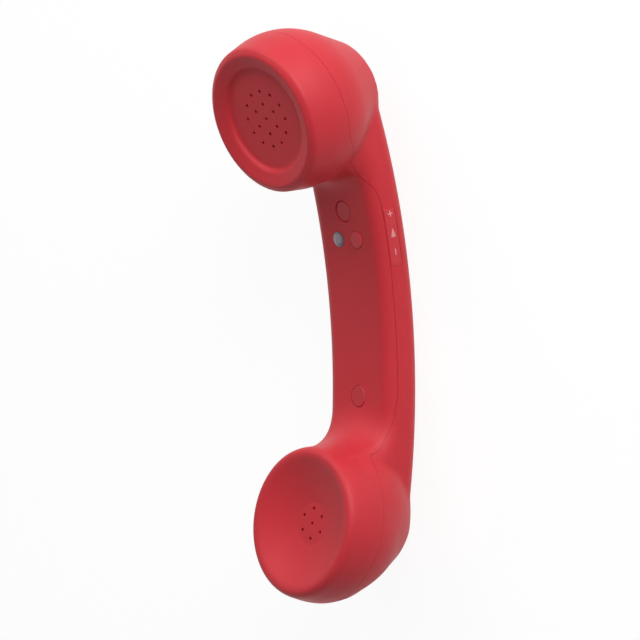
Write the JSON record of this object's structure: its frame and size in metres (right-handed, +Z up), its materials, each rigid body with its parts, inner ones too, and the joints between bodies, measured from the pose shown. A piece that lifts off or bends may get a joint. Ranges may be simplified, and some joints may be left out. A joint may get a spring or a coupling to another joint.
{
  "type": "telephone handset",
  "caption": "Curved one-hand telephone handset with a round dished earpiece and mouthpiece, a call button, a status lamp and a rocking volume key on its side.",
  "frame": {"origin": "under the middle of the handset's length and width, level with the lowest point of its curved back", "axes": "+Z up out of both cups, +Y from the mouthpiece to the earpiece, +X towards the volume key"},
  "size_m": [0.0588, 0.2119, 0.0591],
  "materials": {
    "soft_touch_red": "soft-touch coated moulding, matte",
    "button_red": "matte moulding",
    "plated_steel": "nickel plated",
    "clear_lens": "clear moulded lens",
    "lamp_body": "lamp package",
    "circuit_board": "solder mask",
    "black_plastic": "moulded",
    "battery_wrap": "film wrap",
    "foam": "closed foam",
    "cloth": "woven dust cloth",
    "magnet": "coated magnet",
    "paper_cone": "pressed cone",
    "capsule_can": "drawn can",
    "black_rubber": "moulded rubber",
    "wire_insulation": "flexible insulation"
  },
  "bodies": {
    "handset": {"face_shell": "soft_touch_red", "back_shell": "soft_touch_red", "ear_screw_plug": "soft_touch_red", "mouth_screw_plug": "soft_touch_red", "ear_screw": "plated_steel", "mouth_screw": "plated_steel", "rocker_pin": "plated_steel", "status_lens": "clear_lens", "status_led": "lamp_body", "main_board": "circuit_board", "radio_module": "plated_steel", "call_switch": "black_plastic", "volume_up_switch": "black_plastic", "volume_down_switch": "black_plastic", "charge_socket": "plated_steel", "battery": "battery_wrap", "battery_pad": "foam", "ear_cloth": "cloth", "speaker_gasket": "foam", "speaker_frame": "plated_steel", "speaker_magnet": "magnet", "speaker_cone": "paper_cone", "microphone": "capsule_can", "microphone_boot": "black_rubber", "speaker_leads": "wire_insulation", "microphone_leads": "wire_insulation", "battery_leads": "wire_insulation"},
    "call_key": {"call_button": "button_red"},
    "volume_key": {"volume_rocker": "button_red"}
  },
  "joints": [
    {"name": "call_press", "type": "slide", "parent": "handset", "child": "call_key", "axis": [0, 0.0819, -0.9966], "range_m": [0, 0.0004], "stiffness_N_per_m": 300},
    {"name": "volume_rock", "type": "hinge", "parent": "handset", "child": "volume_key", "pos_m": [0.014, 0.02649, 0.01031], "axis": [0, -0.0819, 0.9966], "range_deg": [-1.5, 1.5], "stiffness_Nm_per_rad": 0.05}
  ]
}
